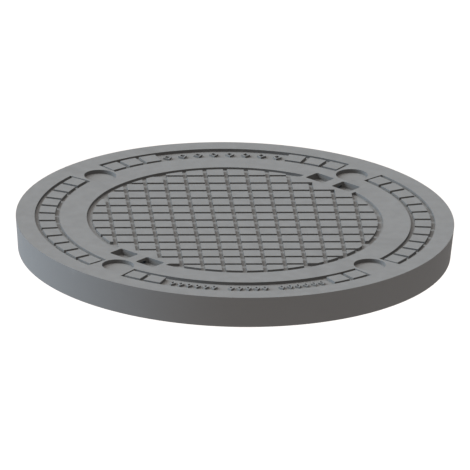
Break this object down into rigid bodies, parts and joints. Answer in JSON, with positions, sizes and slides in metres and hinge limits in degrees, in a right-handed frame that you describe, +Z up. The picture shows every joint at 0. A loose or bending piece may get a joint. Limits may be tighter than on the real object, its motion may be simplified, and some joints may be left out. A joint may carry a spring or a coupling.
{
  "type": "manhole cover",
  "caption": "Round ribbed iron manhole cover with a non-slip tread, paired lifting pockets, a rim seal and captive locking screws under lift-out plugs.",
  "frame": {"origin": "centre of the bearing face, on the cover's axis", "axes": "+Z up out of the walking surface; X and Y along the grooves of the centre field; the lifting pockets lie at 45 and 225 degrees from +X"},
  "size_m": [0.636, 0.636, 0.047],
  "materials": {
    "iron": "fine sand-cast surface with a thin dull grey paint, slightly worn on the tread",
    "plug_iron": "same dull grey as the casting",
    "screw_steel": "turned stainless steel",
    "washer_steel": "stamped stainless steel",
    "bush_steel": "turned stainless steel",
    "seal_rubber": "moulded black rubber"
  },
  "bodies": {
    "cover": {"cover_casting": "iron", "rim_seal": "seal_rubber", "captive_bush_1": "bush_steel", "captive_bush_2": "bush_steel", "captive_bush_3": "bush_steel", "captive_bush_4": "bush_steel", "shank_seal_1": "seal_rubber", "shank_seal_2": "seal_rubber", "shank_seal_3": "seal_rubber", "shank_seal_4": "seal_rubber"},
    "plug_1": {"recess_plug_1": "plug_iron", "plug_seal_1": "seal_rubber"},
    "washer_1": {"screw_washer_1": "washer_steel"},
    "screw_1": {"locking_screw_1": "screw_steel"},
    "plug_2": {"recess_plug_2": "plug_iron", "plug_seal_2": "seal_rubber"},
    "washer_2": {"screw_washer_2": "washer_steel"},
    "screw_2": {"locking_screw_2": "screw_steel"},
    "plug_3": {"recess_plug_3": "plug_iron", "plug_seal_3": "seal_rubber"},
    "washer_3": {"screw_washer_3": "washer_steel"},
    "screw_3": {"locking_screw_3": "screw_steel"},
    "plug_4": {"recess_plug_4": "plug_iron", "plug_seal_4": "seal_rubber"},
    "washer_4": {"screw_washer_4": "washer_steel"},
    "screw_4": {"locking_screw_4": "screw_steel"}
  },
  "joints": [
    {"name": "plug_lift_1", "type": "slide", "parent": "cover", "child": "plug_1", "axis": [0, 0, 1], "range_m": [0, 0.03]},
    {"name": "screw_drop_1", "type": "slide", "parent": "cover", "child": "washer_1", "axis": [0, 0, -1], "range_m": [0, 0.0095]},
    {"name": "screw_turn_1", "type": "hinge", "parent": "washer_1", "child": "screw_1", "pos_m": [0.18293, 0.18293, 0.02], "axis": [0, 0, -1], "continuous": true},
    {"name": "plug_lift_2", "type": "slide", "parent": "cover", "child": "plug_2", "axis": [0, 0, 1], "range_m": [0, 0.03]},
    {"name": "screw_drop_2", "type": "slide", "parent": "cover", "child": "washer_2", "axis": [0, 0, -1], "range_m": [0, 0.0095]},
    {"name": "screw_turn_2", "type": "hinge", "parent": "washer_2", "child": "screw_2", "pos_m": [-0.18293, 0.18293, 0.02], "axis": [0, 0, -1], "continuous": true},
    {"name": "plug_lift_3", "type": "slide", "parent": "cover", "child": "plug_3", "axis": [0, 0, 1], "range_m": [0, 0.03]},
    {"name": "screw_drop_3", "type": "slide", "parent": "cover", "child": "washer_3", "axis": [0, 0, -1], "range_m": [0, 0.0095]},
    {"name": "screw_turn_3", "type": "hinge", "parent": "washer_3", "child": "screw_3", "pos_m": [-0.18293, -0.18293, 0.02], "axis": [0, 0, -1], "continuous": true},
    {"name": "plug_lift_4", "type": "slide", "parent": "cover", "child": "plug_4", "axis": [0, 0, 1], "range_m": [0, 0.03]},
    {"name": "screw_drop_4", "type": "slide", "parent": "cover", "child": "washer_4", "axis": [0, 0, -1], "range_m": [0, 0.0095]},
    {"name": "screw_turn_4", "type": "hinge", "parent": "washer_4", "child": "screw_4", "pos_m": [0.18293, -0.18293, 0.02], "axis": [0, 0, -1], "continuous": true}
  ]
}
